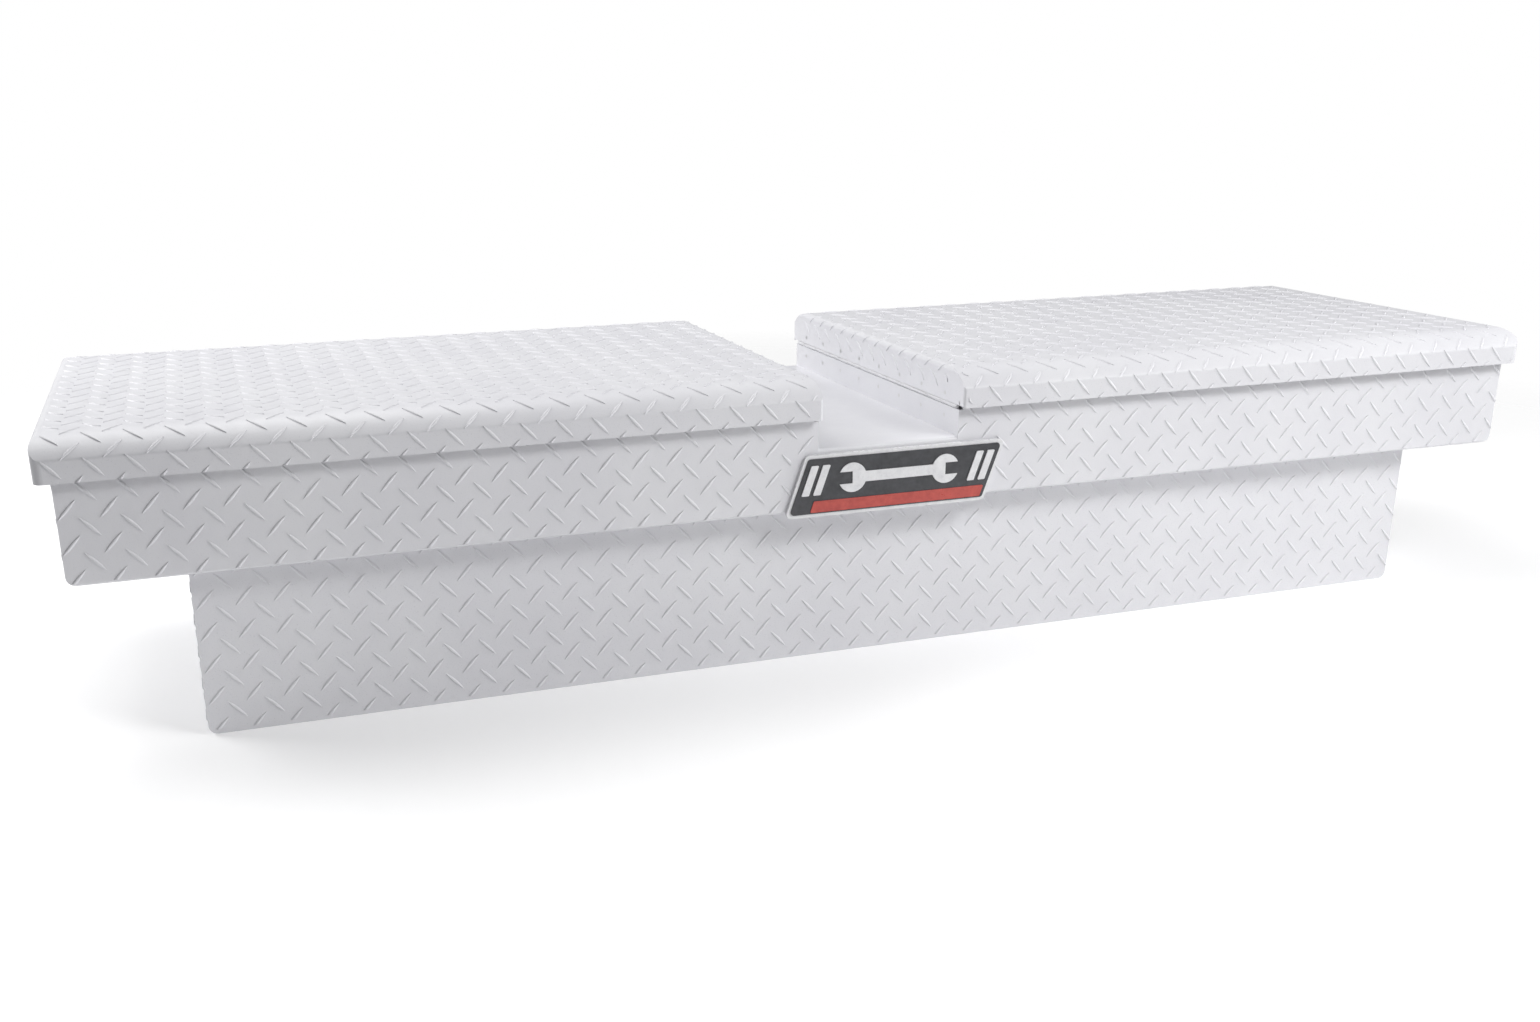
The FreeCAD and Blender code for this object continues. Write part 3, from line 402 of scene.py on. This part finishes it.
def zinc_steel():
    f = Finish("zinc_steel", (0.62, 0.62, 0.60), 0.35, 0.9)
    crystals = f.cells(220, "Color")
    f.coloured(f.mixed(
        f.ramp(f.noise(30, 4, 0.6), [(0.3, (0.55, 0.55, 0.54)), (0.7, (0.72, 0.71, 0.68))]),
        crystals, 0.08, "OVERLAY"))
    f.rough(f.spread(f.noise(160, 3, 0.6), 0.26, 0.46))
    f.bumped(f.noise(600, 2, 0.5), 0.00005, 0.5)


def brushed(name, colour, darker, roughness, along):
    f = Finish(name, colour, roughness, 1.0)
    strokes = f.noise(1, 3, 0.6, f.stretched(tuple(25 if axis == along else 2600 for axis in "XYZ")))
    f.coloured(f.ramp(strokes, [(0.25, darker), (0.75, colour)]))
    smears = f.noise(24, 3, 0.6)
    f.rough(f.spread(smears, roughness - 0.07, roughness + 0.1))
    f.bumped(strokes, 0.00003, 0.5)


def coated_hinge():
    """Hinge steel under the same white powder, thinner and greyer where the leaves rub."""
    f = Finish("hinge_steel", (0.66, 0.66, 0.68), 0.45)
    rubbed = f.noise(1, 4, 0.6, f.stretched((700, 45, 700)))
    f.coloured(f.ramp(rubbed, [(0.32, (0.50, 0.50, 0.51)), (0.5, (0.70, 0.70, 0.72)),
                               (0.8, (0.76, 0.76, 0.78))]))
    f.rough(f.spread(f.noise(260, 3, 0.6), 0.36, 0.55))
    f.bumped(f.noise(900, 2, 0.5), 0.00005, 0.5)


def lock_chrome():
    f = Finish("lock_chrome", (0.78, 0.78, 0.77), 0.12, 1.0)
    f.coloured(f.ramp(f.noise(180, 4, 0.6), [(0.3, (0.70, 0.70, 0.70)), (0.7, (0.83, 0.83, 0.82))]))
    f.rough(f.spread(f.noise(400, 4, 0.7), 0.07, 0.22))
    f.bumped(f.noise(1800, 2, 0.5), 0.00001, 0.4)


def strut_black():
    f = Finish("strut_black", (0.018, 0.018, 0.02), 0.32, Coat_Weight=0.3, Coat_Roughness=0.15)
    f.coloured(f.ramp(f.noise(90, 4, 0.6), [(0.3, (0.012, 0.012, 0.014)), (0.75, (0.030, 0.030, 0.033))]))
    f.rough(f.spread(f.noise(300, 3, 0.6), 0.24, 0.42))
    f.bumped(f.noise(900, 2, 0.5), 0.00004, 0.5)


def seal_rubber():
    f = Finish("seal_rubber", (0.025, 0.025, 0.027), 0.72, Sheen_Weight=0.15)
    f.coloured(f.ramp(f.noise(140, 5, 0.65), [(0.3, (0.016, 0.016, 0.018)), (0.75, (0.045, 0.045, 0.047))]))
    f.rough(f.spread(f.noise(500, 3, 0.6), 0.62, 0.86))
    f.bumped(f.noise(1300, 3, 0.6), 0.00012, 0.6)


def cell_foam(name, pale, dark, per_metre):
    f = Finish(name, pale, 0.95, Sheen_Weight=0.25)
    pores_and_pore_shade = f.cells(per_metre)
    # Darker towards each pore's centre, where the bump dips: painted shade in the pores, multiplied by
    # large random tone patches.
    f.coloured(f.mixed(
        f.ramp(pores_and_pore_shade, [(0.05, dark), (0.5, pale)]),
        f.ramp(f.noise(12, 3, 0.5), [(0.3, (0.88, 0.88, 0.88)), (0.7, (1, 1, 1))]),
        1.0, "MULTIPLY"))
    f.rough(f.spread(pores_and_pore_shade, 0.98, 0.85, 0.0, 0.6))
    f.bumped(pores_and_pore_shade, 0.0005, 0.6)


def moulded(name, dark, pale, roughness):
    """Injection-moulded badge plastic: fine grain and slight haze."""
    f = Finish(name, pale, roughness, Coat_Weight=0.35, Coat_Roughness=0.12)
    f.coloured(f.ramp(f.noise(110, 4, 0.6), [(0.3, dark), (0.7, pale)]))
    f.rough(f.spread(f.noise(260, 3, 0.6), roughness - 0.07, roughness + 0.08))
    f.bumped(f.noise(1600, 2, 0.5), 0.00003, 0.5)


def make_materials():
    white_powder_coat()
    zinc_steel()
    brushed("stainless_latch", (0.72, 0.71, 0.69), (0.56, 0.55, 0.53), 0.27, "Y")
    coated_hinge()
    brushed("rivet_aluminium", (0.80, 0.80, 0.80), (0.66, 0.66, 0.66), 0.33, "X")
    brushed("polished_rod", (0.70, 0.70, 0.71), (0.60, 0.60, 0.61), 0.14, "X")
    lock_chrome()
    strut_black()
    seal_rubber()
    # The second colour of each foam is the painted shade at its pore centres; the first is the foam's own
    # colour.
    cell_foam("rail_foam", (0.035, 0.035, 0.037), (0.010, 0.010, 0.011), 700)
    cell_foam("closed_cell_foam", (0.74, 0.73, 0.70), (0.52, 0.51, 0.48), 520)
    moulded("badge_white", (0.70, 0.70, 0.72), (0.82, 0.82, 0.83), 0.3)
    moulded("badge_charcoal", (0.026, 0.027, 0.032), (0.050, 0.051, 0.058), 0.4)
    moulded("badge_red", (0.42, 0.045, 0.035), (0.56, 0.075, 0.055), 0.34)


def finish_cad_nodes():
    for node in NODES.values():
        for place, slot_material in enumerate(node.data.materials):
            node.material_slots[place].material = MATERIALS[slot_material.name.split(".")[0]]


# ---------------------------------------------------------------- tread on each sheet

ORIGIN = (0, 0, 0)
FRONT_AXES = (ORIGIN, (1, 0, 0), (0, -1, 0), (0, 0, 1))
REAR_AXES = (ORIGIN, (-1, 0, 0), (0, 1, 0), (0, 0, 1))
END_AXES = {
    "right": (ORIGIN, (0, 1, 0), (1, 0, 0), (0, 0, 1)),
    "left": (ORIGIN, (0, -1, 0), (-1, 0, 0), (0, 0, 1)),
}
EDGE_GAP = 0.4 * MM
ABOVE_EDGE = -1.0
BADGE_LAP = 6 * MM
LATCH_RIM = 9 * MM
FLOOR_REACH = 40 * MM
CORNER_GAP = 2 * MM
LEDGE_GAP = 4 * MM
WALL_FIRST = (-864 * MM, 37.5 * MM)
END_FIRST = (6 * MM, 20 * MM)


def tread_body():
    wall = Fold(
        [(BODY_Y, RIM_Z), (BODY_Y, LEDGE_Z), (TUB_Y, LEDGE_Z), (TUB_Y, 0)],
        [SHEET_BEND, SHEET_BEND - GAUGE],
    )
    upper_end = RIM_Z - LEDGE_Z
    ledge_end = wall.parts[4][0]
    notch = (-CHANNEL_X, CHANNEL_X, ABOVE_EDGE, RIM_Z - CHANNEL_LIP)
    badge = (low("badge_plate").x + BADGE_LAP, high("badge_plate").x - BADGE_LAP,
             RIM_Z - high("badge_plate").z, RIM_Z - low("badge_plate").z)
    for name, axes, openings in (
        ("front", FRONT_AXES, [notch, badge]),
        ("rear", REAR_AXES, [notch]),
    ):
        side = BODY_X - EDGE_GAP
        upper = (-side, side, EDGE_GAP, upper_end - SHEET_BEND)
        tread(f"{name}_wall_tread", "root", axes, wall, upper, WALL_FIRST, openings)
        side = TUB_X - EDGE_GAP
        lower = (-side, side, ledge_end, wall.length - BODY_CORNER / 2)
        tread(f"{name}_tub_tread", "root", axes, wall, lower, WALL_FIRST)


def tread_ends():
    wall = Fold(
        [(BODY_X, RIM_Z), (BODY_X, LEDGE_Z), (TUB_X, LEDGE_Z), (TUB_X, 0), (TUB_X - FLOOR_REACH, 0)],
        [BODY_CORNER, SHEET_BEND - GAUGE, BODY_CORNER],
    )
    bezel_low, bezel_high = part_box("right_latch_dish")
    latch = (bezel_low.y + LATCH_RIM, bezel_high.y - LATCH_RIM,
             RIM_Z - bezel_high.z + LATCH_RIM, RIM_Z - bezel_low.z - LATCH_RIM)
    half = BODY_Y - CORNER_GAP
    half_tub = TUB_Y - CORNER_GAP
    upper = (-half, half, EDGE_GAP, wall.parts[2][0] - LEDGE_GAP)
    lower = (-half_tub, half_tub, wall.parts[4][0], wall.parts[5][0])
    for side, axes in END_AXES.items():
        tread(f"{side}_end_tread", "root", axes, wall, upper, END_FIRST, [latch])
        tread(f"{side}_tub_end_tread", "root", axes, wall, lower, END_FIRST)


INNER_REACH = 60 * MM
RIVET_BAND = 15 * MM
FRONT_ROW_RISE = 32 * MM
LEFT_LID_START = -853 * MM
RIGHT_LID_START = 21 * MM
SKIRT_CORNER_GAP = 24 * MM
SKIRT_FIRST = (4 * MM, 15 * MM)


def tread_lids():
    foot, brow = LID_TOP - LID_BROW_HEIGHT, LID_Y - LID_BROW_RUN
    across = Fold(
        [(-LID_Y, SKIRT_Z), (-LID_Y, foot), (-brow, LID_TOP),
         (brow, LID_TOP), (LID_Y, foot), (LID_Y, SKIRT_Z)],
        [LID_FOOT_BEND, LID_ROLL, LID_ROLL, LID_FOOT_BEND],
    )
    bend_start = CHANNEL_X + LID_INNER_BEND
    inner_side = Fold(
        [(-bend_start - INNER_REACH, LID_TOP), (-CHANNEL_X, LID_TOP), (-CHANNEL_X, SKIRT_Z)],
        [LID_INNER_BEND],
    )
    flat_y = across.parts[4][1] - across.length / 2
    front_row = across.length - FRONT_ROW_RISE
    for side, sign in SIDES.items():
        outer = sign * (LID_X - LID_END_BEND)
        start = LEFT_LID_START if side == "left" else CHANNEL_X + RIGHT_LID_START
        edges = (min(sign * bend_start, outer), max(sign * bend_start, outer),
                 EDGE_GAP, across.length - EDGE_GAP)
        tread(f"{side}_lid_tread", f"{side}_lid", FRONT_AXES, across, edges, (start, front_row))
        opposite = "left" if side == "right" else "right"
        first = (sign * (front_row - across.length / 2), bend_start + INNER_REACH - sign * start)
        edges = (-flat_y, flat_y, INNER_REACH, inner_side.length - RIVET_BAND)
        tread(f"{side}_lid_inner_tread", f"{side}_lid", END_AXES[opposite], inner_side, edges, first,
              quarter_turn=True)
    skirt = Fold([(LID_X, LID_TOP), (LID_X, SKIRT_Z), (LID_X - MM, SKIRT_Z)], [0.1 * MM])
    flat = LID_Y - SKIRT_CORNER_GAP
    edges = (-flat, flat, LID_END_BEND, LID_TOP - SKIRT_Z - EDGE_GAP)
    for side, axes in END_AXES.items():
        tread(f"{side}_lid_end_tread", f"{side}_lid", axes, skirt, edges, SKIRT_FIRST)


# ---------------------------------------------------------------- studio

FLOOR_RINGS = (1.5, 3.0, 6.0)
FLOOR_SIDES = 96
FLOOR_FADE = (1.1, 2.2)


def add_floor():
    """A round pale floor that fades into the white surround."""
    bm = bmesh.new()
    angles = [math.tau * n / FLOOR_SIDES for n in range(FLOOR_SIDES)]
    rings = [[bm.verts.new((radius * math.cos(a), radius * math.sin(a), 0)) for a in angles]
             for radius in FLOOR_RINGS]
    bm.faces.new(rings[0])
    for inner, outer in zip(rings, rings[1:]):
        for n in range(FLOOR_SIDES):
            m = (n + 1) % FLOOR_SIDES
            bm.faces.new((inner[n], outer[n], outer[m], inner[m]))
    mesh = bpy.data.meshes.new("studio_floor")
    bm.to_mesh(mesh)
    bm.free()
    floor = bpy.data.objects.new("studio_floor", mesh)
    bpy.context.scene.collection.objects.link(floor)
    f = Finish("studio_floor", (0.95, 0.95, 0.95), 0.9,
               Emission_Color=(1, 1, 1, 1), Emission_Strength=0.16)
    f.coloured(f.ramp(f.noise(3, 2, 0.5), [(0.3, (0.945, 0.945, 0.945)), (0.7, (0.955, 0.955, 0.955))]))
    distance = f.nodes.new("ShaderNodeVectorMath")
    distance.operation = "LENGTH"
    f.links.new(f.coordinates, distance.inputs[0])
    clear = f.nodes.new("ShaderNodeBsdfTransparent")
    blend = f.nodes.new("ShaderNodeMixShader")
    f.links.new(f.spread(distance.outputs["Value"], 0, 1, *FLOOR_FADE), blend.inputs[0])
    f.links.new(f.shader.outputs[0], blend.inputs[1])
    f.links.new(clear.outputs[0], blend.inputs[2])
    f.links.new(blend.outputs[0], f.nodes["Material Output"].inputs["Surface"])
    mesh.materials.append(f.material)


def add_light(name, place, target, size, watts):
    data = bpy.data.lights.new(name, "AREA")
    data.shape = "RECTANGLE"
    data.size, data.size_y = size
    data.energy = watts
    light = bpy.data.objects.new(name, data)
    bpy.context.scene.collection.objects.link(light)
    light.location = place
    light.rotation_mode = "QUATERNION"
    light.rotation_quaternion = (Vector(target) - Vector(place)).to_track_quat("-Z", "Y")


SURROUND_LIGHT = 0.1


def add_world():
    """White surround behind the floor, dimmer as a light than as a backdrop."""
    world = bpy.data.worlds.new("studio_world")
    bpy.context.scene.world = world
    world.use_nodes = True
    nodes, links = world.node_tree.nodes, world.node_tree.links
    glow = nodes["Background"]
    glow.inputs["Color"].default_value = (0.97, 0.975, 1.0, 1)
    glow.inputs["Strength"].default_value = SURROUND_LIGHT
    backdrop = nodes.new("ShaderNodeBackground")
    backdrop.inputs["Color"].default_value = (1, 1, 1, 1)
    path = nodes.new("ShaderNodeLightPath")
    blend = nodes.new("ShaderNodeMixShader")
    links.new(path.outputs["Is Camera Ray"], blend.inputs[0])
    links.new(glow.outputs[0], blend.inputs[1])
    links.new(backdrop.outputs[0], blend.inputs[2])
    links.new(blend.outputs[0], nodes["World Output"].inputs["Surface"])


def add_lights():
    """The front is lit from the right and falls off leftwards; the tops are lit from behind."""
    add_light("front", (0.9, -1.3, 1.5), (0.3, -0.25, 0.15), (1.0, 0.5), 18)
    add_light("front_far", (1.7, -2.0, 1.8), (0.25, -0.25, 0.1), (1.5, 0.5), 7)
    add_light("right", (3.0, -0.9, 1.0), (0.5, -0.1, 0.2), (1.2, 1.0), 32)
    add_light("top", (-0.9, 0.9, 2.6), (-0.2, 0, 0.3), (2.4, 1.6), 46)
    add_light("left_rear", (-2.4, 1.5, 1.6), (0.1, 0, 0.3), (1.8, 1.4), 50)


CAMERA_PLACE = Vector((-0.72208, -1.73499, 0.64402))
CAMERA_YAW = 0.32318
CAMERA_PITCH = 0.33088
CAMERA_ROLL = -0.00885
LENS = 34.70
SENSOR = 36.0
SHIFT = (0.04333, 0.05277)
CLIP = (0.05, 60)


def add_camera():
    data = bpy.data.cameras.new("camera")
    data.sensor_width = SENSOR
    data.lens = LENS
    data.shift_x, data.shift_y = SHIFT
    data.clip_start, data.clip_end = CLIP
    ahead = Vector((math.sin(CAMERA_YAW) * math.cos(CAMERA_PITCH),
                    math.cos(CAMERA_YAW) * math.cos(CAMERA_PITCH), -math.sin(CAMERA_PITCH)))
    level = Vector((math.cos(CAMERA_YAW), -math.sin(CAMERA_YAW), 0))
    above = level.cross(ahead)
    cosine, sine = math.cos(CAMERA_ROLL), math.sin(CAMERA_ROLL)
    right, up = level * cosine + above * sine, above * cosine - level * sine
    camera = bpy.data.objects.new("camera", data)
    bpy.context.scene.collection.objects.link(camera)
    turn = Matrix((right, up, -ahead)).transposed().to_4x4()
    camera.matrix_world = Matrix.Translation(CAMERA_PLACE) @ turn
    bpy.context.scene.camera = camera


def main():
    scene = bpy.context.scene
    scene.view_settings.view_transform = "Standard"
    make_materials()
    finish_cad_nodes()
    tread_body()
    tread_ends()
    tread_lids()
    add_floor()
    add_world()
    add_lights()
    add_camera()


main()
